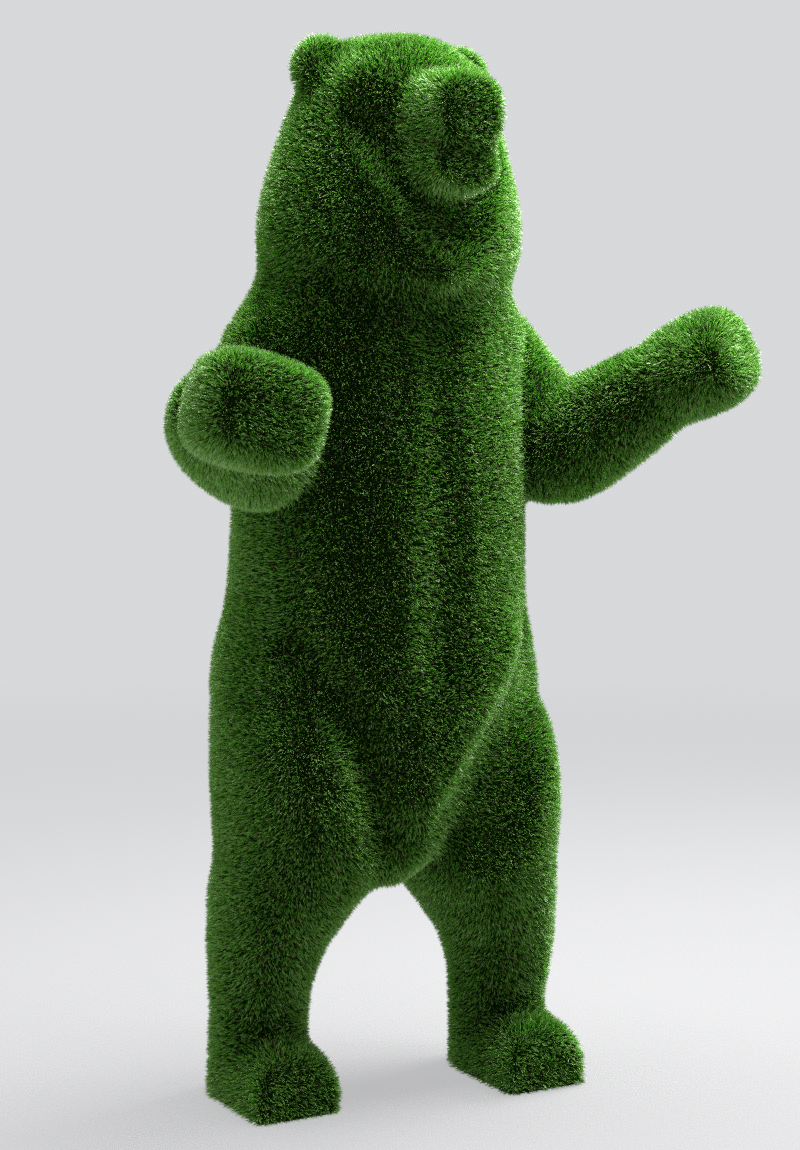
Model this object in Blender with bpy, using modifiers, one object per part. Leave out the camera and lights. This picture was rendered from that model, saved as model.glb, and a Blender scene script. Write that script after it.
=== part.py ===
"""Topiary bear: a life-size bear standing upright with its arms held out, clipped in green turf.

Metres, +Z up. The bear looks along -Y and its left side is at +X. The origin is on the floor,
below the middle of the figure's overall box. The outline is the tips of the pile, and the soles are
flat.

The figure is drawn in hundredths of its own height, as a sculptor's canon is, from a point on the
floor midway between the ankles. It is blocked out in lofts and balls, fused into one skin, softened
where limbs grow out of the trunk, creased with a few strokes, cut flat at the floor, thinned to a
faceted skin and moved over the origin.
"""

import bmesh
import bpy
import numpy as np
from math import copysign, cos, pi, radians, sin
from mathutils import Matrix, Vector

HEIGHT = 2.10  # floor to the tips of the ears
UNIT = HEIGHT / 100  # one hundredth of the height: every figure size below is in these

# How fine the skin is.
SKIN_VOXEL = 0.5  # size of the cells that the blocked-out forms are fused in
SKIN_TRIANGLES = 9000  # triangles that the finished skin is thinned to
RING_POINTS = 64  # points round each lofted section
POINTS_BETWEEN = 5  # points drawn from one station of a line or a loft to the next
SOLE_SLACK = 0.05  # a point this near the floor belongs to a sole

# Stance.
STANCE = 12.45  # each ankle's distance to the side
ANKLE_BACK = 1.1  # the ankles' distance behind the middle, on average
STEP = 3.1  # how far the left foot stands in front of the right one
STEP_TOP = 32.0  # height at which the step has faded out
STEP_DROP = 0.6  # how much lower the left thigh starts for it, and the right one higher
BELLY_SWING = 2.4  # how far the lowest of the belly hangs to the right
SWING_TOP = 37.0  # height at which that has faded out

# Foot.
FOOT_LENGTH = 13.8
FOOT_WIDTH = 9.6
FOOT_HEIGHT = 7.4
FOOT_FORWARD = 2.9  # the foot's middle, in front of its ankle

# Head.
EAR_RADIUS = 3.4
EAR_SPACING = 7.2  # each ear's distance to the side
EAR_FORWARD = 1.3
EAR_DISH = 1.3  # how deep the front of an ear is hollowed
EAR_DROP = 3.6  # how far below the crown the middle of an ear is
NOSE_REACH = 17.4  # the nose's distance in front of the middle

GRASS_GREEN = (0.055, 0.19, 0.025, 1.0)
UPWARD = (0, 0, 1)
BACKWARD = (0, 1, 0)

# Sections of the trunk from the seat to the shoulders: height, distance behind the middle, half
# width, half depth.
TRUNK = [
    (20.2, -3.8, 1.0, 2.4),
    (21.2, -2.4, 2.6, 5.2),
    (23.0, -0.7, 4.8, 8.6),
    (25.5, 0.4, 7.6, 10.6),
    (28.5, 1.1, 11.4, 12.3),
    (33.0, 1.6, 15.0, 13.3),
    (38.0, 1.8, 16.6, 14.0),
    (42.5, 2.0, 16.1, 14.2),
    (47.0, 1.9, 14.8, 14.0),
    (54.0, 1.4, 14.4, 13.8),
    (61.0, 1.4, 14.4, 13.4),
    (68.0, 1.6, 14.6, 12.6),
    (72.0, 1.1, 14.6, 12.0),
    (75.5, 0.3, 13.6, 11.6),
    (78.5, 0.3, 11.8, 11.0),
]

# Sections of the head with its ruff, from the throat to the crown, in the same columns.
HEAD = [
    (72.5, 0.4, 8.0, 8.0),
    (75.5, -0.2, 12.0, 11.8),
    (78.5, -0.7, 12.8, 12.6),
    (82.5, -0.9, 13.0, 12.7),
    (86.5, -1.0, 12.3, 11.9),
    (90.5, -1.1, 11.0, 10.7),
    (94.0, -1.2, 9.6, 9.8),
    (97.0, -1.2, 7.9, 8.4),
    (99.2, -1.2, 5.4, 6.0),
    (100.0, -1.2, 2.4, 2.8),
]

# The face: a line down one side of the muzzle, how far from it the ruff starts, and how deep it is.
FACE_HOLLOW = [(6.0, -9.0, 92.0), (4.7, -10.8, 88.0), (3.0, -12.0, 84.5), (1.9, -12.8, 81.5)]
FACE_REACH = 4.4
FACE_DEPTH = 1.7
RUFF_KEEL = -0.10  # below 0, so that the ruff's sections come to a soft keel at the throat

# Sections of one leg from the hip to the heel: height, distance to the side, distance behind the
# middle, half width, half depth.
LEG = [
    (41.0, 8.4, 1.4, 5.4, 8.2),
    (37.0, 9.2, 1.0, 7.2, 10.0),
    (33.0, 9.3, 0.1, 7.7, 10.7),
    (28.0, 8.8, -0.4, 8.4, 10.6),
    (23.0, 8.8, -0.3, 8.1, 9.9),
    (20.5, 9.5, 0.0, 7.7, 9.2),
    (18.5, 10.5, 0.3, 6.9, 8.6),
    (16.3, 11.3, 0.4, 6.1, 7.8),
    (14.4, 12.0, 0.5, 5.55, 7.0),
    (12.5, 12.3, 0.6, 5.15, 6.4),
    (10.5, 12.5, 0.8, 4.9, 5.8),
    (8.0, STANCE, ANKLE_BACK, 4.75, 5.3),
    (4.0, STANCE, ANKLE_BACK, 4.8, 5.3),
    (-2.0, STANCE, ANKLE_BACK, 5.0, 5.6),
]

# What each arm runs through: distance to the side, distance behind the middle, height.
LEFT_ARM = {
    "shoulder": (10.4, 1.7, 71.0),
    "upper_arm": (14.2, 0.2, 65.9),
    "elbow": (16.6, -3.6, 61.9),
    "forearm": (19.4, -9.2, 64.3),
    "wrist": (21.9, -13.9, 67.5),
    "tip": (26.3, -21.2, 71.3),
}
RIGHT_ARM = {
    "shoulder": (9.8, 1.7, 70.8),
    "upper_arm": (12.7, 0.0, 65.2),
    "elbow": (14.9, -4.2, 62.0),
    "forearm": (20.9, -10.0, 63.6),
    "wrist": (23.4, -15.0, 65.0),
    "tip": (22.2, -24.4, 65.2),
}
# Half width and half height of an arm on its way.
ARM_GIRTH = {
    "shoulder": (5.6, 6.4),
    "upper_arm": (5.9, 6.2),
    "elbow": (5.9, 6.2),
    "forearm": (5.4, 5.5),
    "wrist": (4.8, 4.7),
}
# Sections of a paw: share of the way from the wrist to the tip, half width, half height.
PAW = [
    (-0.12, 3.7, 3.7),
    (0.10, 4.8, 4.7),
    (0.38, 5.8, 5.0),
    (0.65, 6.1, 5.0),
    (0.85, 5.6, 4.5),
    (0.96, 4.4, 3.6),
    (1.00, 2.5, 2.0),
]
# Degrees that a paw's inner edge drops, and how square the paw is.
LEFT_PAW = (21.0, 0.02)
RIGHT_PAW = (15.0, 0.38)


def smooth_line(points, between):
    """Points on a smooth curve through every given point, with some more between each two."""
    points = np.array(points, float)
    padded = np.vstack([2 * points[0] - points[1], points, 2 * points[-1] - points[-2]])
    curve = []
    for a, b, c, d in zip(padded, padded[1:], padded[2:], padded[3:]):
        for step in range(between):
            t = step / between
            curve.append(0.5 * (2 * b + (c - a) * t + (2 * a - 5 * b + 4 * c - d) * t**2
                                + (3 * b - a - 3 * c + d) * t**3))
    curve.append(points[-1])
    return np.array(curve)


def rounded(value, squareness):
    """A cosine or sine drawn towards 1 and -1, which makes an ellipse squarer, or away from them
    where the squareness is below 0."""
    return copysign(abs(value) ** (1 - squareness), value)


def loft(bm, stations, axis=None, forward=(0, -1, 0), squareness=0.0):
    """Adds a closed tube through stations of (x, y, z, half width, half depth). Its sections stand
    square to the axis, or to the tube where none is given, and the half depth is measured in the
    forward direction. Returns its points."""
    points = []
    rings = smooth_line(stations, POINTS_BETWEEN)
    centres = rings[:, :3]
    along = np.gradient(centres, axis=0)
    previous = None
    first = None
    for centre, direction, (wide, deep) in zip(centres, along, rings[:, 3:]):
        direction = Vector(axis or direction).normalized()
        side = direction.cross(Vector(forward)).normalized()
        front = side.cross(direction)
        ring = []
        for i in range(RING_POINTS):
            turn = 2 * pi * i / RING_POINTS
            across = side * wide * rounded(cos(turn), squareness)
            point = Vector(centre) + across + front * deep * rounded(sin(turn), squareness)
            ring.append(bm.verts.new(point * UNIT))
        points += ring
        if previous is None:
            first = ring
        else:
            for i in range(RING_POINTS):
                j = (i + 1) % RING_POINTS
                bm.faces.new((previous[i], previous[j], ring[j], ring[i]))
        previous = ring
    bm.faces.new(first[::-1])
    bm.faces.new(previous)
    return points


def nearness(points, line, reach):
    """1 on the line, falling smoothly to 0 at the given reach from it."""
    line = np.array(line, float)
    nearest = np.full(len(points), np.inf)
    for a, b in zip(line, line[1:]):
        share = np.clip((points - a) @ (b - a) / ((b - a) @ (b - a)), 0, 1)
        nearest = np.minimum(nearest, np.linalg.norm(points - a - share[:, None] * (b - a), axis=1))
    t = np.clip(1 - nearest / reach, 0, 1)
    return t * t * (3 - 2 * t)


def press(verts, line, reach, push):
    """Moves the points near a line by a push, which fades out at the given reach."""
    points = np.array([vert.co for vert in verts]) / UNIT
    for vert, share in zip(verts, nearness(points, line, reach)):
        vert.co += Vector(push) * float(share) * UNIT


def ball(bm, centre, half_sizes):
    """Adds an ellipsoid of the given half sizes, and returns its points."""
    place = Matrix.Translation(Vector(centre) * UNIT)
    place = place @ Matrix.Diagonal((*(size * UNIT for size in half_sizes), 1))
    made = bmesh.ops.create_uvsphere(bm, u_segments=40, v_segments=26, radius=1.0, matrix=place)
    return made["verts"]


def add_trunk(bm):
    stations = []
    for z, back, wide, deep in TRUNK:
        swing = BELLY_SWING * max(0.0, (SWING_TOP - z) / (SWING_TOP - TRUNK[0][0]))
        stations.append((-swing, back, z, wide, deep))
    loft(bm, stations, UPWARD)


def add_head(bm):
    skull = loft(bm, [(0, back, z, wide, deep) for z, back, wide, deep in HEAD], UPWARD,
                 squareness=RUFF_KEEL)
    # The face lies deep inside the ruff, in a V that closes at the throat.
    for side in (-1, 1):
        line = [(side * x, y, z) for x, y, z in FACE_HOLLOW]
        press(skull, line, FACE_REACH, (0, FACE_DEPTH, 0))
    crown = HEAD[-1][0]
    for side in (-1, 1):
        ear = ball(bm, (side * EAR_SPACING, -EAR_FORWARD, crown - EAR_DROP),
                   (EAR_RADIUS, EAR_RADIUS * 0.8, EAR_RADIUS))
        dish = (side * (EAR_SPACING - 0.6), -EAR_FORWARD - EAR_RADIUS * 0.8,
                crown - EAR_DROP + 0.8)
        press(ear, [dish, (dish[0], dish[1], dish[2] - 1.0)], EAR_RADIUS * 0.8, (0, EAR_DISH, 0))
        # Brow over each eye.
        ball(bm, (side * 3.4, -4.9, 94.0), (5.0, 5.0, 4.2))
    # Bridge and nose, blunt in front.
    tip = -NOSE_REACH
    loft(bm, [
        (0, tip + 11.5, 90.6, 5.0, 6.2),
        (0, tip + 7.5, 90.8, 4.3, 5.2),
        (0, tip + 4.6, 91.4, 4.0, 4.3),
        (0, tip + 1.6, 91.4, 3.8, 3.9),
        (0, tip + 0.4, 91.3, 3.1, 3.2),
        (0, tip, 91.3, 1.9, 2.0),
    ], BACKWARD, UPWARD, squareness=0.2)
    # Lower jaw, narrower and set back under the nose.
    loft(bm, [
        (0, tip + 11.5, 87.8, 5.0, 5.2),
        (0, tip + 7.0, 87.5, 4.3, 4.1),
        (0, tip + 3.6, 87.2, 3.9, 3.3),
        (0, tip + 1.4, 87.0, 3.5, 2.8),
        (0, tip + 0.7, 87.0, 2.2, 1.8),
    ], BACKWARD, UPWARD, squareness=0.1)


def stepped(side, z):
    """How far a leg stands behind where the other would, at a height."""
    return -side * STEP / 2 * max(0.0, 1 - max(z, 0.0) / STEP_TOP)


def add_leg(bm, side):
    loft(bm, [(side * out, back + stepped(side, z), z - side * STEP_DROP, wide, deep)
              for z, out, back, wide, deep in LEG], UPWARD, squareness=0.08)


def add_foot(bm, side):
    """A rounded slab, highest at the instep, that goes below the floor where it is cut later."""
    half = FOOT_LENGTH / 2
    middle = ANKLE_BACK + stepped(side, 0) - FOOT_FORWARD
    stations = []
    for share, width, height in (
        (0.98, 0.50, 0.50), (0.86, 0.88, 0.88), (0.45, 1.0, 1.0), (0.0, 1.02, 1.0),
        (-0.45, 1.0, 0.95), (-0.80, 1.0, 0.84), (-0.95, 0.93, 0.66), (-1.0, 0.76, 0.44),
    ):
        stations.append((side * STANCE, middle + share * half, 1.4,
                         width * FOOT_WIDTH / 2, height * (FOOT_HEIGHT - 1.4)))
    loft(bm, stations, BACKWARD, UPWARD, squareness=0.15)


def add_arm(bm, side, path, paw):
    stations = []
    for name, (wide, high) in ARM_GIRTH.items():
        out, back, z = path[name]
        stations.append((side * out, back, z, wide, high))
    loft(bm, stations, forward=UPWARD)
    # The rounded shoulder.
    out, back, z = path["shoulder"]
    wide, high = ARM_GIRTH["shoulder"]
    ball(bm, (side * out, back, z), (wide, wide, high))
    wrist = Vector(path["wrist"])
    tip = Vector(path["tip"])
    stations = []
    for share, wide, high in PAW:
        out, back, z = wrist + (tip - wrist) * share
        stations.append((side * out, back, z, wide, high))
    roll, squareness = paw
    drop = radians(roll)
    loft(bm, stations, forward=(-side * sin(drop), 0, cos(drop)), squareness=squareness)


def blocked_out():
    """One object that holds every overlapping form of the figure."""
    bm = bmesh.new()
    add_trunk(bm)
    add_head(bm)
    for side in (-1, 1):
        add_leg(bm, side)
        add_foot(bm, side)
    add_arm(bm, 1, LEFT_ARM, LEFT_PAW)
    add_arm(bm, -1, RIGHT_ARM, RIGHT_PAW)
    bmesh.ops.recalc_face_normals(bm, faces=bm.faces)
    mesh = bpy.data.meshes.new("topiary_bear")
    bm.to_mesh(mesh)
    bm.free()
    return bpy.data.objects.new("topiary_bear", mesh)


def bake(obj):
    """Keeps the mesh that the object's modifiers make, and removes them."""
    graph = bpy.context.evaluated_depsgraph_get()
    mesh = bpy.data.meshes.new_from_object(obj.evaluated_get(graph))
    obj.modifiers.clear()
    obj.data = mesh


def fuse(obj):
    remesh = obj.modifiers.new("fuse", "REMESH")
    remesh.mode = "VOXEL"
    remesh.voxel_size = SKIN_VOXEL * UNIT
    bake(obj)


def points_of(mesh):
    points = np.empty(len(mesh.vertices) * 3)
    mesh.vertices.foreach_get("co", points)
    return points.reshape(-1, 3) / UNIT


def normals_of(mesh):
    normals = np.empty(len(mesh.vertices) * 3)
    mesh.vertices.foreach_get("normal", normals)
    return normals.reshape(-1, 3)


def set_points(mesh, points):
    mesh.vertices.foreach_set("co", (points * UNIT).ravel())
    mesh.update()


# Where the skin is softened: a line through each join, its reach, and how many times.
JOINS = [
    ([(-11, -3, 27), (-9, -3, 36), (9, -3, 36), (11, -3, 27)], 15, 14),
    ([(-7, -5, 23.5), (0, -6, 22.5), (7, -5, 23.5)], 7, 24),
    ([(11, -1, 72), (13, -1, 67)], 9, 20),
    ([(-11, -1, 72), (-13, -1, 67)], 9, 20),
    ([(21, -12, 66), (23, -15.5, 68)], 8, 24),
    ([(-22, -12, 64), (-23, -16, 65)], 8, 24),
    ([(-8, -7, 92), (8, -7, 92)], 9, 16),
    ([(-STANCE, -4, 7), (-STANCE, 4, 7)], 7, 10),
    ([(STANCE, -4, 7), (STANCE, 4, 7)], 7, 10),
    ([(-8, 6, 76), (8, 6, 76)], 12, 40),
    ([(-12, -3, 76), (-7, -10, 75), (0, -13, 73), (7, -10, 75), (12, -3, 76)], 5, 12),
]


def soften(obj):
    """Smooths the whole skin a little, and the places where one form grows out of another more."""
    points = points_of(obj.data)
    groups = [("all_over", np.ones(len(points)), 4)]
    for number, (line, reach, times) in enumerate(JOINS):
        groups.append((f"join_{number}", nearness(points, line, reach), times))
    for name, weights, times in groups:
        group = obj.vertex_groups.new(name=name)
        for index in np.flatnonzero(weights > 0.01):
            group.add([int(index)], float(weights[index]), "REPLACE")
        smooth = obj.modifiers.new(name, "SMOOTH")
        smooth.vertex_group = name
        smooth.factor = 0.5
        smooth.iterations = times
    bake(obj)
    obj.vertex_groups.clear()


def mirrored(line):
    return [(-x, y, z) for x, y, z in line]


LEFT_THIGH_FOLD = [(12.6, -6.8, 44.5), (9.4, -9.4, 41.3), (6.3, -10.5, 36.7), (2.9, -10.5, 30.8),
                   (1.0, -10.2, 28.0)]
RIGHT_THIGH_FOLD = [(-13.4, -6.4, 44.0), (-10.8, -9.6, 41.0), (-7.9, -10.8, 35.5),
                    (-5.7, -9.2, 27.0)]
BELLY_EDGE = [(7.6, -10.4, 43.0), (4.6, -12.2, 39.0), (1.6, -12.6, 34.5), (-0.8, -12.0, 30.0)]
THIGH_FRONT = [(13.0, -7.0, 40.5), (10.6, -9.4, 35.5), (8.0, -10.6, 30.0), (6.2, -10.4, 25.5)]
COLLAR = [(12.5, -1.5, 76.5), (10.0, -8.0, 75.6), (5.5, -11.6, 73.8), (0.0, -12.6, 72.0)]
RUFF_EDGE = [(9.2, -7.6, 91.0), (7.6, -10.2, 87.4), (5.3, -12.0, 84.3), (3.6, -12.8, 81.8),
             (0.8, -13.4, 77.0)]

# Creases and swellings drawn on the skin: a line, its reach, and how far the skin moves out. The
# belly hangs a little to the right, so the two folds under it differ.
STROKES = [
    ([(0, -13.2, 72), (0, -13.6, 62), (0, -13.4, 50), (0, -13.2, 42)], 4.0, -1.0),
    (LEFT_THIGH_FOLD, 2.8, -0.8),
    (RIGHT_THIGH_FOLD, 3.4, -0.9),
    (BELLY_EDGE, 5.5, 0.9),
    (THIGH_FRONT, 5.5, -1.2),
    (COLLAR, 4.0, -0.5),
    (mirrored(COLLAR), 4.0, -0.5),
    (RUFF_EDGE, 2.8, 0.5),
    (mirrored(RUFF_EDGE), 2.8, 0.5),
    ([(-3.4, -16.2, 87.8), (0, -17.2, 87.8), (3.4, -16.2, 87.8)], 1.4, -0.3),
]


def carve(obj):
    points = points_of(obj.data)
    normals = normals_of(obj.data)
    for line, reach, rise in STROKES:
        points = points + normals * (rise * nearness(points, line, reach))[:, None]
    set_points(obj.data, points)


def thin(obj):
    decimate = obj.modifiers.new("thin", "DECIMATE")
    triangles = sum(len(face.vertices) - 2 for face in obj.data.polygons)
    decimate.ratio = min(1.0, SKIN_TRIANGLES / triangles)
    decimate.use_collapse_triangulate = True
    bake(obj)


def cut_at_floor(obj):
    """Cuts the feet flat at the floor and closes the soles."""
    bm = bmesh.new()
    bm.from_mesh(obj.data)
    everything = bm.verts[:] + bm.edges[:] + bm.faces[:]
    cut = bmesh.ops.bisect_plane(bm, geom=everything, plane_co=(0, 0, 0), plane_no=(0, 0, 1),
                                 dist=1e-6, clear_inner=True)
    rims = [item for item in cut["geom_cut"] if isinstance(item, bmesh.types.BMEdge)]
    bmesh.ops.holes_fill(bm, edges=rims)
    bmesh.ops.triangulate(bm, faces=bm.faces)
    bm.to_mesh(obj.data)
    bm.free()


def level_soles(obj):
    """Puts every point that thinning left within a hair of the floor exactly on it."""
    points = points_of(obj.data)
    points[points[:, 2] < SOLE_SLACK, 2] = 0
    set_points(obj.data, points)


def stand_on_origin(obj):
    """Moves the figure until the middle of its overall box is above the origin."""
    points = points_of(obj.data)
    middle = (points.min(axis=0) + points.max(axis=0)) / 2
    middle[2] = 0
    set_points(obj.data, points - middle)


def turf_material():
    material = bpy.data.materials.new("turf")
    material.use_nodes = True
    shader = material.node_tree.nodes["Principled BSDF"]
    shader.inputs["Base Color"].default_value = GRASS_GREEN
    shader.inputs["Roughness"].default_value = 0.7
    shader.inputs["Metallic"].default_value = 0.0
    material.diffuse_color = GRASS_GREEN
    return material


def main():
    for obj in list(bpy.data.objects):
        bpy.data.objects.remove(obj)
    collection = bpy.data.collections.new("topiary_bear")
    bpy.context.scene.collection.children.link(collection)
    bear = blocked_out()
    collection.objects.link(bear)
    fuse(bear)
    soften(bear)
    carve(bear)
    cut_at_floor(bear)
    thin(bear)
    level_soles(bear)
    stand_on_origin(bear)
    bear.data.materials.clear()
    bear.data.materials.append(turf_material())
    bear.data.shade_smooth()


main()
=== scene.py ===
# %% [markdown]
# # A bear clipped in artificial turf
#
# The real figure is a light body wrapped in artificial lawn. Two things make its look: a dark
# woven backing with thatch on it, and some hundred thousand plastic blades for each square metre.
# Down in the pile the blades lie in shade, and their tips catch the light. Here both are painted
# into the blades' colour, as painted shade at the root and painted light at the tip. Seen straight
# on, the eye looks down between the blades and finds the dark. Seen along the surface, it meets
# only tips, so every edge of the figure glows pale green. A flat green surface can't do that, so
# the blades are modelled.

import bpy
import numpy as np
from math import atan, cos, pi, radians, sin
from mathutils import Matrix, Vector


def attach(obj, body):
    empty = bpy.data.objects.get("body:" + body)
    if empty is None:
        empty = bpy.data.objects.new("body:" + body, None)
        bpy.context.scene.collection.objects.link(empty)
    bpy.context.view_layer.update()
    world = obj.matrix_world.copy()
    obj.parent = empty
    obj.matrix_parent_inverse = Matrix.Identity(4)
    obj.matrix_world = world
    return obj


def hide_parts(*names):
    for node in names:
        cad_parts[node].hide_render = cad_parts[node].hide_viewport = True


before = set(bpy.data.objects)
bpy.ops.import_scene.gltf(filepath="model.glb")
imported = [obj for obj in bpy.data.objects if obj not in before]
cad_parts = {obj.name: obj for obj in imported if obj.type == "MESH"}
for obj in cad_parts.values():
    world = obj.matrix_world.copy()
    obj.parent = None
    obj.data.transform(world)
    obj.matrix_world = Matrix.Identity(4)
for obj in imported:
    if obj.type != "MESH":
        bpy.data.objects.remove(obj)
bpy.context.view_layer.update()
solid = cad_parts["topiary_bear"]

# %% [markdown]
# ## The camera
#
# The photograph was taken with a moderate telephoto, from in front of the bear and 28 degrees
# towards its right side. A camera could be placed by eye, but the picture itself fixes it better:
# the horizon's row gives its tilt, the row of the feet gives its height and distance, and their
# column gives its turn. Rows and columns are those of the photograph.

# %% Camera
IMAGE_WIDTH = 800
IMAGE_HEIGHT = 1150
LENS = 70.0  # focal length in millimetres
SENSOR = 36.0  # millimetres along the picture's longer side, which is its height
FEET_MIDDLE = Vector((-0.0134, 0.0895, 0.0))  # the floor midway between the ankles
CAMERA_AZIMUTH = radians(-28)  # 0 is straight in front, minus is towards the bear's right side
CAMERA_DISTANCE = 4.475  # along the floor, from the middle of the feet
CAMERA_HEIGHT = 1.378
HORIZON_ROW = 405  # row of the photograph that is level with the camera
FEET_COLUMN = 385  # column of the photograph above the middle of the feet

pixels_per_unit = LENS / SENSOR * IMAGE_HEIGHT
tilt_down = atan((IMAGE_HEIGHT / 2 - HORIZON_ROW) / pixels_per_unit)
turn_right = atan((IMAGE_WIDTH / 2 - FEET_COLUMN) / pixels_per_unit)

camera = bpy.data.objects.new("camera", bpy.data.cameras.new("camera"))
bpy.context.scene.collection.objects.link(camera)
bpy.context.scene.camera = camera
camera.data.lens = LENS
camera.data.sensor_width = SENSOR
away = Vector((sin(CAMERA_AZIMUTH), -cos(CAMERA_AZIMUTH), 0.0))
camera.location = FEET_MIDDLE + away * CAMERA_DISTANCE + Vector((0, 0, CAMERA_HEIGHT))
camera.rotation_euler = (pi / 2 - tilt_down, 0, CAMERA_AZIMUTH - turn_right)
print("the camera stands at", tuple(camera.location))

# %% [markdown]
# ## The backing
#
# Under the blades lies the turf's backing: a woven sheet with curly brown thatch. It follows the
# figure's form, nearly one pile's depth below the tips. It could be an offset by a modifier, but
# the soles have to stay on the floor, so the points of the solid are moved inwards here, and those
# of the soles only sideways.

# %% Sizes of the turf
PILE = 0.021  # common length of a blade, whose root lies this far below the solid's surface
BACKING_DEPTH = 0.016  # the backing lies this far below the surface, and so hides the roots
SOLE_HEIGHT = 0.0005  # a point lower than this belongs to a sole
print("blades of", PILE, "metres, over a backing", BACKING_DEPTH, "metres deep")

# %% Read the solid's surface
JOIN_DIGITS = 5  # points whose places agree to this many decimals are one point
SHORTEST_LENGTH = 1e-12  # keeps a vector without length from being divided by nothing


def mesh_array(collection, name, columns, kind):
    """One attribute of a mesh's elements, as an array with a row for each."""
    values = np.empty(len(collection) * columns, kind)
    collection.foreach_get(name, values)
    return values.reshape(-1, columns)


def unit(vectors):
    """The same directions, each with a length of 1."""
    return vectors / np.maximum(np.linalg.norm(vectors, axis=1, keepdims=True), SHORTEST_LENGTH)


solid_points = mesh_array(solid.data.vertices, "co", 3, np.float32).astype(float)
solid.data.calc_loop_triangles()
triangles = mesh_array(solid.data.loop_triangles, "vertices", 3, np.int32)

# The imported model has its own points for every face, so points in one place are first joined.
_, first, joined = np.unique(np.round(solid_points, JOIN_DIGITS), axis=0, return_index=True,
                             return_inverse=True)
points = solid_points[first]
triangles = joined.reshape(-1)[triangles]
corners = points[triangles]
face_normals = np.cross(corners[:, 1] - corners[:, 0], corners[:, 2] - corners[:, 0])
areas = np.linalg.norm(face_normals, axis=1) / 2

on_sole = (corners[:, :, 2] < SOLE_HEIGHT).all(axis=1)
normals = np.zeros_like(points)
for corner in range(3):
    np.add.at(normals, triangles[~on_sole, corner], face_normals[~on_sole])
normals = unit(normals)
print(len(points), "points,", len(triangles), "triangles,", round(areas.sum(), 2), "square metres")

# %% Make the backing


def mesh_from(name, vertices, faces):
    """A mesh of triangles, made from arrays at once."""
    mesh = bpy.data.meshes.new(name)
    mesh.vertices.add(len(vertices))
    mesh.vertices.foreach_set("co", vertices.astype(np.float32).ravel())
    mesh.loops.add(faces.size)
    mesh.loops.foreach_set("vertex_index", faces.astype(np.int32).ravel())
    mesh.polygons.add(len(faces))
    mesh.polygons.foreach_set("loop_start", np.arange(0, faces.size, 3, dtype=np.int32))
    mesh.update(calc_edges=True)
    mesh.shade_smooth()
    return mesh


inward = normals * BACKING_DEPTH
inward[points[:, 2] < SOLE_HEIGHT, 2] = 0
backing = bpy.data.objects.new("turf_backing", mesh_from("turf_backing", points - inward, triangles))
bpy.context.scene.collection.objects.link(backing)
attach(backing, "root")
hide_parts("topiary_bear")
print("the backing has", len(backing.data.polygons), "faces")

# %% [markdown]
# ## The blades
#
# Real turf is stitched: every stitch holds a few blades that fan out of one hole, so the blades
# are grown in tufts. Blender's hair could grow them too, but it isn't a mesh, and the figure has
# to keep its grass as plain faces. A tuft's triangle is picked by its area, and its place there
# follows an even sequence, so no spot is bare and none is crowded. All random numbers come from
# one seeded generator, so the grass is the same each time.

# %% Where the tufts go
SEED = 28
BLADES_PER_TUFT = 3
BLADE_COUNT = 468000
BLADE_WIDTH = 0.0019  # at its widest
EVEN_STEPS = (0.7548776662, 0.5698402910)  # numbers whose multiples fill a square evenly

random = np.random.default_rng(SEED)
tuft_count = BLADE_COUNT // BLADES_PER_TUFT
turf_areas = np.where(on_sole, 0, areas)
shares = np.cumsum(turf_areas) / turf_areas.sum()
numbers = np.arange(tuft_count)
chosen = np.searchsorted(shares, (numbers + 0.5) / tuft_count)
first_share = numbers * EVEN_STEPS[0] % 1
second_share = numbers * EVEN_STEPS[1] % 1

# The square is folded along its diagonal, which makes a triangle of it.
beyond = first_share + second_share > 1
first_share[beyond] = 1 - first_share[beyond]
second_share[beyond] = 1 - second_share[beyond]
weights = np.stack([1 - first_share - second_share, first_share, second_share], axis=1)
tuft_points = (points[triangles[chosen]] * weights[:, :, None]).sum(axis=1)
tuft_normals = unit((normals[triangles[chosen]] * weights[:, :, None]).sum(axis=1))
print(tuft_count, "tufts,", round(tuft_count / turf_areas.sum()), "for each square metre")

# %% [markdown]
# The pile of a turf leans one way, as it was rolled, and a little downwards. The lean wanders
# from place to place, which gives the figure its faint mottle. A noise texture could drive it, but
# a sum of a few slow waves, with random directions, is enough for that and stays in the mesh. On
# top of it each tuft leans a little way of its own.

# %% How the pile leans
NAP = Vector((0.04, 0.0, -0.07))  # common lean, as a share of a blade's height
MOTTLE = 0.06  # strength of the wandering lean
WAVES = 14
WAVE_LENGTHS = (0.05, 0.35)  # metres, of the shortest and the longest wave
TUFT_LEAN = 0.05  # how far each tuft leans a way of its own


def wander(places, lengths):
    """Three slow random fields over the places, each about -1 to 1."""
    field = np.zeros_like(places)
    for _ in range(WAVES):
        direction = unit(random.normal(size=(1, 3)))[0]
        wave = 2 * pi / random.uniform(*lengths)
        phase = random.uniform(0, 2 * pi, 3)
        field += np.sin(places @ direction[:, None] * wave + phase)
    return field / np.sqrt(WAVES / 2)


tuft_lean = np.array(NAP) + MOTTLE * wander(tuft_points, WAVE_LENGTHS)
tuft_lean += TUFT_LEAN * random.normal(size=tuft_lean.shape)
print("the pile leans by", round(float(np.linalg.norm(tuft_lean, axis=1).mean()), 2), "on average")

# %% [markdown]
# The blades of a tuft differ in height and fan out to all sides, and some are short curly thatch
# that fans out further. Two fixed kinds of blade would do for a lawn seen from far off. Here each
# blade gets values of its own, because the edges of the figure show them one by one.

# %% Values of each blade
FAN = 0.18  # how far the blades of a tuft fan out, as a share of their height
THATCH_FAN = 0.30  # how much further the thatch fans out
SHORTEST = 0.72  # heights of the blades, as shares of the pile's length
LONGEST = 1.10
THATCH_SHARE = 0.13  # share of the blades that are short curly brown thatch
THATCH_HEIGHT = 0.62
STITCH = 0.0045  # half the width of the hole that a tuft comes out of

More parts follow.
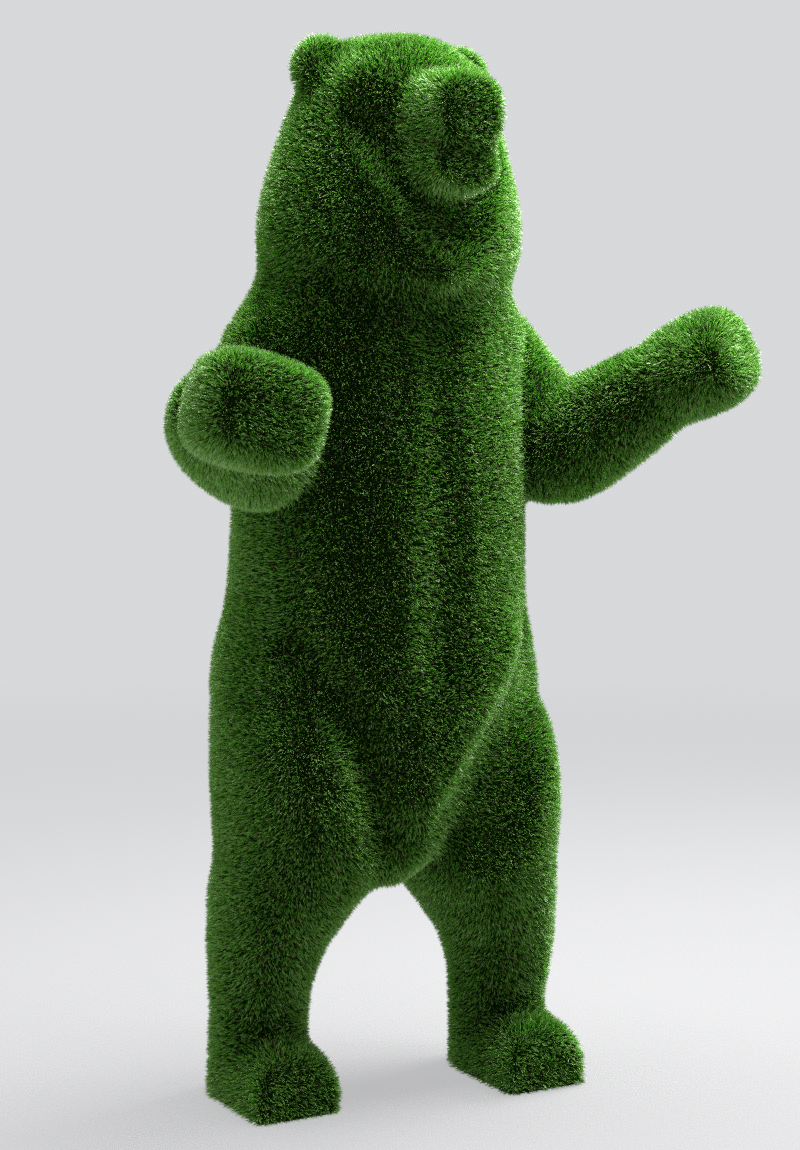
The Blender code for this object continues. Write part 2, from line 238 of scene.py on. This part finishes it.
blade_count = tuft_count * BLADES_PER_TUFT
up = np.repeat(tuft_normals, BLADES_PER_TUFT, axis=0)
side = unit(np.cross(up, random.normal(size=(blade_count, 3))))
other_side = np.cross(up, side)
is_thatch = random.random(blade_count) < THATCH_SHARE
height = PILE * random.uniform(SHORTEST, LONGEST, blade_count)
height[is_thatch] *= THATCH_HEIGHT
fan = np.abs(random.normal(0, FAN, blade_count))
fan[is_thatch] += THATCH_FAN
lean = np.repeat(tuft_lean, BLADES_PER_TUFT, axis=0) + side * fan[:, None]
lean -= up * (lean * up).sum(axis=1, keepdims=True)
root = np.repeat(tuft_points, BLADES_PER_TUFT, axis=0) - up * PILE
root += side * (STITCH * random.random(blade_count))[:, None]
print(blade_count, "blades, of which", int(is_thatch.sum()), "are thatch")

# %% [markdown]
# A blade is a folded kite of two triangles: a point at the root, widest in its upper half, and a
# point at the tip. A strip of many faces would bend more smoothly, but a kite is the least that
# still bends and tapers, and so the figure can have the most blades.

# %% Corners of each blade
WIDEST = 0.66  # height of a blade's widest point, as a share
WIDEST_LEAN = 0.44  # share of the lean that a blade has reached there
NARROW_BLADE = 0.75  # widths of the narrowest and the widest blades, as shares
WIDE_BLADE = 1.2
LOWEST_CORNER = 0.001  # no blade goes below this height over the floor

middle = root + (up * WIDEST + lean * WIDEST_LEAN) * height[:, None]
tip = root + (up + lean) * height[:, None]
turned = random.uniform(0, pi, blade_count)
across = side * np.cos(turned)[:, None] + other_side * np.sin(turned)[:, None]
half_width = BLADE_WIDTH / 2 * random.uniform(NARROW_BLADE, WIDE_BLADE, blade_count)
across *= half_width[:, None]
blade_corners = np.stack([root, middle - across, middle + across, tip], axis=1)
blade_corners[:, :, 2] = np.maximum(blade_corners[:, :, 2], LOWEST_CORNER)
print("the highest tip is at", round(float(blade_corners[:, :, 2].max()), 4), "metres")

# %% [markdown]
# ## Colour of a blade
#
# A blade's colour depends on two things: which yarn it is, and how high up the blade one looks.
# The height carries painted shade at the root and painted light at the tip.
# A material could pick them at random for each mesh island, but an exported model loses that. So
# both are kept in a UV map: U picks the yarn's column and V runs from root to tip. Every blade of
# one yarn lies on the same column, and the whole figure needs one small chart of colours.

# %% Yarns
GREEN_YARNS = 24
THATCH_YARNS = 8
YARNS = GREEN_YARNS + THATCH_YARNS
COLUMN_REACH = 0.3  # a blade reaches this share of a column to each side of its middle
CHART_ROOT = 0.02  # a blade starts a little inside the chart, and ends so
CHART_TIP = 0.98

yarn = random.integers(0, GREEN_YARNS, blade_count)
yarn[is_thatch] = GREEN_YARNS + random.integers(0, THATCH_YARNS, int(is_thatch.sum()))
column = (yarn + 0.5) / YARNS
half_column = COLUMN_REACH / YARNS
blade_uv = np.empty((blade_count, 4, 2))
blade_uv[:, :, 0] = column[:, None] + half_column * np.array([0, -1, 1, 0])
blade_uv[:, :, 1] = np.array([CHART_ROOT, WIDEST, WIDEST, CHART_TIP])
print("the blades have", YARNS, "yarns,", THATCH_YARNS, "of them thatch")

# %% [markdown]
# The yarns are fresh greens with a few pale ones, and the thatch is straw and brown. The chart
# could be a picture, but colour ramps need no file and stay smooth from close by. One ramp holds
# the colour of each yarn's tip, made paler as painted light, and one that of its middle. Two more,
# along the blade, say how dark it is at its root, which is painted shade, and where its pale tip,
# the painted light, starts.

# %% Colours of the yarns
GREENS = GREEN_YARNS / YARNS  # the chart's greens end here, and the thatch starts
STEP = 0.01  # half the width of the change between them
# Each yarn's own tone at its tip. The tips are made paler than the middles as painted light, where
# tips catch the light.
YARN_TIPS_WITH_PAINTED_LIGHT = [
    (0.0, (0.19, 0.47, 0.048)),
    (GREENS * 0.30, (0.28, 0.55, 0.09)),
    (GREENS * 0.60, (0.44, 0.67, 0.25)),
    (GREENS * 0.85, (0.15, 0.42, 0.035)),
    (GREENS - STEP, (0.57, 0.75, 0.38)),
    (GREENS + STEP, (0.34, 0.27, 0.11)),
    (1.0, (0.30, 0.16, 0.07)),
]
MIDDLE_COLOURS = [
    (0.0, (0.085, 0.340, 0.015)),
    (GREENS * 0.5, (0.130, 0.440, 0.028)),
    (GREENS - STEP, (0.070, 0.310, 0.020)),
    (GREENS + STEP, (0.20, 0.140, 0.040)),
    (1.0, (0.120, 0.060, 0.020)),
]
# Painted shade: a blade's colour is darkened towards its root, down in the pile where shade falls.
ROOT_PAINTED_SHADE = [(0.20, (0.14, 0.18, 0.10)), (0.62, (1.0, 1.0, 1.0))]
# Painted light: from here up, a blade turns to its paler tip colour.
TIP_PAINTED_LIGHT = [(0.52, (0.0, 0.0, 0.0)), (0.90, (1.0, 1.0, 1.0))]
print("the pale tips start at", TIP_PAINTED_LIGHT[0][0], "of a blade's height")

# %% Helpers for the materials


def start_material(name, roughness, specular):
    """A material that is equally rough and equally glossy all over."""
    material = bpy.data.materials.new(name)
    material.use_nodes = True
    nodes = material.node_tree.nodes
    shader = nodes["Principled BSDF"]
    shader.inputs["Roughness"].default_value = roughness
    shader.inputs["Specular IOR Level"].default_value = specular
    print("a material for", name)
    return material, nodes, material.node_tree.links, shader


def ramp(nodes, name, stops):
    """A colour ramp with the given stops of (place, colour)."""
    node = nodes.new("ShaderNodeValToRGB")
    node.name = name
    elements = node.color_ramp.elements
    for place, colour in stops[1:-1]:
        elements.new(place).color = (*colour, 1)
    elements[0].position, elements[-1].position = stops[0][0], stops[-1][0]
    elements[0].color = (*stops[0][1], 1)
    elements[-1].color = (*stops[-1][1], 1)
    return node


# %% Turf material


def blade_material():
    """Plastic yarns, with painted shade at the dark root and painted light at the pale tip."""
    material, nodes, links, shader = start_material("turf_blades", roughness=0.4, specular=0.6)
    chart = nodes.new("ShaderNodeUVMap")
    chart.uv_map = "OFBake"
    split = nodes.new("ShaderNodeSeparateXYZ")
    links.new(chart.outputs["UV"], split.inputs["Vector"])
    tips = ramp(nodes, "tips", YARN_TIPS_WITH_PAINTED_LIGHT)
    middles = ramp(nodes, "middles", MIDDLE_COLOURS)
    for yarns in (tips, middles):
        links.new(split.outputs["X"], yarns.inputs["Fac"])
    # Painted shade: the colour darkens towards the root.
    painted_root_shade = ramp(nodes, "painted_root_shade", ROOT_PAINTED_SHADE)
    # Painted light: the paler tip colour takes over towards the tip.
    painted_tip_light = ramp(nodes, "painted_tip_light", TIP_PAINTED_LIGHT)
    for heights in (painted_root_shade, painted_tip_light):
        links.new(split.outputs["Y"], heights.inputs["Fac"])
    body = nodes.new("ShaderNodeMix")
    body.data_type = "RGBA"
    links.new(painted_tip_light.outputs["Color"], body.inputs["Factor"])
    links.new(middles.outputs["Color"], body.inputs["A"])
    links.new(tips.outputs["Color"], body.inputs["B"])
    # The painted root shade multiplies the yarn's colour.
    shade = nodes.new("ShaderNodeMix")
    shade.data_type = "RGBA"
    shade.blend_type = "MULTIPLY"
    shade.inputs["Factor"].default_value = 1.0
    links.new(body.outputs["Result"], shade.inputs["A"])
    links.new(painted_root_shade.outputs["Color"], shade.inputs["B"])
    links.new(shade.outputs["Result"], shader.inputs["Base Color"])
    return material


turf_blades = blade_material()

# %% [markdown]
# The backing shows only as the dark between the blades. On the real turf it is a black sheet with
# green and brown curls lying on it. Curls of mesh would hardly be seen down there, so a fine
# twisted noise gives both their colours and their relief.

# %% Backing material
CURLS_PER_METRE = 320
CURL_HEIGHT = 0.002
BACKING_COLOURS = [
    (0.34, (0.004, 0.009, 0.003)),
    (0.50, (0.007, 0.024, 0.004)),
    (0.62, (0.014, 0.034, 0.006)),
    (0.74, (0.036, 0.026, 0.010)),
]


def thatch_material():
    """The backing: near black, with curly brown and dark green thatch on it."""
    material, nodes, links, shader = start_material("turf_thatch", roughness=0.9, specular=0.0)
    place = nodes.new("ShaderNodeTexCoord")
    curls = nodes.new("ShaderNodeTexNoise")
    curls.inputs["Scale"].default_value = CURLS_PER_METRE
    curls.inputs["Detail"].default_value = 5
    curls.inputs["Distortion"].default_value = 1.4
    links.new(place.outputs["Object"], curls.inputs["Vector"])
    colours = ramp(nodes, "thatch", BACKING_COLOURS)
    links.new(curls.outputs["Fac"], colours.inputs["Fac"])
    links.new(colours.outputs["Color"], shader.inputs["Base Color"])
    bump = nodes.new("ShaderNodeBump")
    bump.inputs["Strength"].default_value = 0.7
    bump.inputs["Distance"].default_value = CURL_HEIGHT
    links.new(curls.outputs["Fac"], bump.inputs["Height"])
    links.new(bump.outputs["Normal"], shader.inputs["Normal"])
    return material


backing.data.materials.append(thatch_material())

# %% [markdown]
# ## Pieces of pile
#
# The real wrap is cut into panels. One mesh could hold all the blades, but it would be too heavy
# to handle, so each panel's blades are a mesh: head, chest, back, arms and legs. Which panel a tuft
# belongs to follows from where it stands.

# %% Panels
ARM_OUT = 0.31  # an arm is further out than the flank
ARM_LOW = 1.0
REACH_FRONT = -0.2  # what reaches further forward at arm height is a forearm
REACH_OUT = 0.2
REACH_LOW = 1.1
REACH_HIGH = 1.6
COLLAR = 1.56
CROTCH = 0.80  # the leg panels end at the top of the thighs
FLANK = 0.12  # chest in front of it, back behind it

x = tuft_points[:, 0] - FEET_MIDDLE.x
y = tuft_points[:, 1]
z = tuft_points[:, 2]
reaching = (y < REACH_FRONT) & (z > REACH_LOW) & (z < REACH_HIGH) & (abs(x) > REACH_OUT)
in_arm = ((abs(x) > ARM_OUT) & (z > ARM_LOW)) | reaching
in_head = (z > COLLAR) & ~in_arm
in_leg = (z < CROTCH) & ~in_arm
in_trunk = ~(in_arm | in_head | in_leg)
panels = {
    "turf_pile_head": in_head,
    "turf_pile_chest": in_trunk & (y < FLANK),
    "turf_pile_back": in_trunk & (y >= FLANK),
    "turf_pile_left_arm": in_arm & (x > 0),
    "turf_pile_right_arm": in_arm & (x <= 0),
    "turf_pile_left_leg": in_leg & (x > 0),
    "turf_pile_right_leg": in_leg & (x <= 0),
}
print("tufts in each panel:", {name: int(inside.sum()) for name, inside in panels.items()})

# %% Make the pile
BLADE_FACES = np.array([[0, 2, 1], [1, 2, 3]])  # corner 0 is the root and corner 3 the tip


def make_pile(name, blades):
    """One mesh with every blade that the mask picks."""
    corners = blade_corners[blades]
    faces = (np.arange(len(corners))[:, None, None] * 4 + BLADE_FACES).reshape(-1, 3)
    mesh = mesh_from(name, corners.reshape(-1, 3), faces)
    chart = mesh.uv_layers.new(name="OFBake")
    uv = blade_uv[blades].reshape(-1, 2)[faces.ravel()]
    chart.data.foreach_set("uv", uv.astype(np.float32).ravel())
    mesh.materials.append(turf_blades)
    pile = bpy.data.objects.new(name, mesh)
    bpy.context.scene.collection.objects.link(pile)
    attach(pile, "root")
    return pile


for name, inside in panels.items():
    pile = make_pile(name, np.repeat(inside, BLADES_PER_TUFT))
    print(name, len(pile.data.polygons), "triangles")

# %% [markdown]
# ## The floor
#
# A plain pale floor that runs out of sight. A curved backdrop could hide its end, but it would show
# its bend in some view. This floor is flat and very wide instead, and from a few metres out its
# colour turns into the air's, so that it melts away all round. A glow of its own keeps the
# bear's shadows on it faint.

# %% Floor
FLOOR_SIZE = 400.0
FLOOR_FADE = 7.0  # distance at which the floor has the air's colour
AIR = (0.68, 0.69, 0.70)
FLOOR_PAINT = [(0.0, (0.12, 0.12, 0.12)), (1.0, (0.0, 0.0, 0.0))]
FLOOR_GLOW = [(0.0, (0.46, 0.46, 0.47)), (1.0, AIR)]
bpy.ops.mesh.primitive_plane_add(size=FLOOR_SIZE)
floor = bpy.context.object
floor.name = "floor"


def floor_material():
    """Grey paint near the bear, which gives way to a glow of the air's colour further out."""
    material, nodes, links, shader = start_material("floor_paint", roughness=0.8, specular=0.0)
    place = nodes.new("ShaderNodeTexCoord")
    distance = nodes.new("ShaderNodeVectorMath")
    distance.operation = "LENGTH"
    links.new(place.outputs["Object"], distance.inputs[0])
    share = nodes.new("ShaderNodeMath")
    share.operation = "DIVIDE"
    share.inputs[1].default_value = FLOOR_FADE
    links.new(distance.outputs["Value"], share.inputs[0])
    paint = ramp(nodes, "paint", FLOOR_PAINT)
    glow = ramp(nodes, "glow", FLOOR_GLOW)
    for greys, socket in ((paint, "Base Color"), (glow, "Emission Color")):
        links.new(share.outputs["Value"], greys.inputs["Fac"])
        links.new(greys.outputs["Color"], shader.inputs[socket])
    shader.inputs["Emission Strength"].default_value = 1.0
    return material


floor.data.materials.append(floor_material())

# %% [markdown]
# ## The air
#
# The pale air around the bear is the studio's softest light. The least of it comes from the
# camera's side, which leaves the fronts dark and lets the tips along every edge shine. Black screens
# could hold that light back, but they would show in the other views. The air itself sheds less
# light there instead, while to the camera it looks equally pale all round.

# %% Air
DARK_SIDE = radians(-28)  # azimuth of the middle of the side that sheds the least light
BRIGHT = 1.0  # strength of the air's light away from that side
DIM = 0.13  # and in the middle of it
DIM_START = 0.1  # cosines of the angles from that middle between which the light fades
DIM_END = 0.9


def studio_air():
    """Pale air all round, which sheds less light from one side."""
    world = bpy.data.worlds.new("studio")
    world.use_nodes = True
    nodes = world.node_tree.nodes
    links = world.node_tree.links
    nodes["Background"].inputs["Color"].default_value = (*AIR, 1)
    place = nodes.new("ShaderNodeTexCoord")
    towards = nodes.new("ShaderNodeVectorMath")
    towards.operation = "DOT_PRODUCT"
    towards.inputs[1].default_value = (sin(DARK_SIDE), -cos(DARK_SIDE), 0)
    links.new(place.outputs["Generated"], towards.inputs[0])
    dimming = nodes.new("ShaderNodeMapRange")
    dimming.interpolation_type = "SMOOTHSTEP"
    dimming.inputs["From Min"].default_value = DIM_START
    dimming.inputs["From Max"].default_value = DIM_END
    dimming.inputs["To Min"].default_value = BRIGHT
    dimming.inputs["To Max"].default_value = DIM
    links.new(towards.outputs["Value"], dimming.inputs["Value"])
    path = nodes.new("ShaderNodeLightPath")
    seen = nodes.new("ShaderNodeMix")
    links.new(path.outputs["Is Camera Ray"], seen.inputs["Factor"])
    links.new(dimming.outputs["Result"], seen.inputs["A"])
    seen.inputs["B"].default_value = BRIGHT
    links.new(seen.outputs["Result"], nodes["Background"].inputs["Strength"])
    return world


bpy.context.scene.world = studio_air()
print("pale air, with", DIM, "of its light on the dark side")

# %% [markdown]
# ## The lamps
#
# Three large soft lamps do the rest. A weak one behind the bear's right side and a strong one
# beside its left light the pile along both edges, and one high up lights the crown, the paws and
# the feet. Small lamps would give as much light, but every blade would cast a hard shadow.

# %% Lamps
LAMP_AIM = Vector((0, 0, 1.1))  # all lamps look at the bear's belly
SIDE_LAMP_SIZE = 2.2
TOP_LAMP_SIZE = 2.4


def add_lamp(name, azimuth, distance, lamp_height, size, power):
    """A soft square lamp that looks at the bear."""
    lamp = bpy.data.objects.new(name, bpy.data.lights.new(name, "AREA"))
    lamp.data.size = size
    lamp.data.energy = power
    angle = radians(azimuth)
    lamp.location = Vector((sin(angle) * distance, -cos(angle) * distance, lamp_height))
    aim = LAMP_AIM - lamp.location
    lamp.rotation_euler = aim.to_track_quat("-Z", "Y").to_euler()
    lamp.visible_camera = False
    bpy.context.scene.collection.objects.link(lamp)
    print(name, "of", power, "watts")


add_lamp("back_lamp", -125, 3.6, 3.0, SIDE_LAMP_SIZE, 38)
add_lamp("side_lamp", 98, 3.6, 3.0, SIDE_LAMP_SIZE, 270)
add_lamp("top_lamp", 95, 0.7, 3.9, TOP_LAMP_SIZE, 350)

# A denoiser would smear the blades, and the standard view keeps the greens as they were mixed.
bpy.context.scene.cycles.use_denoising = False
bpy.context.scene.view_settings.view_transform = "Standard"
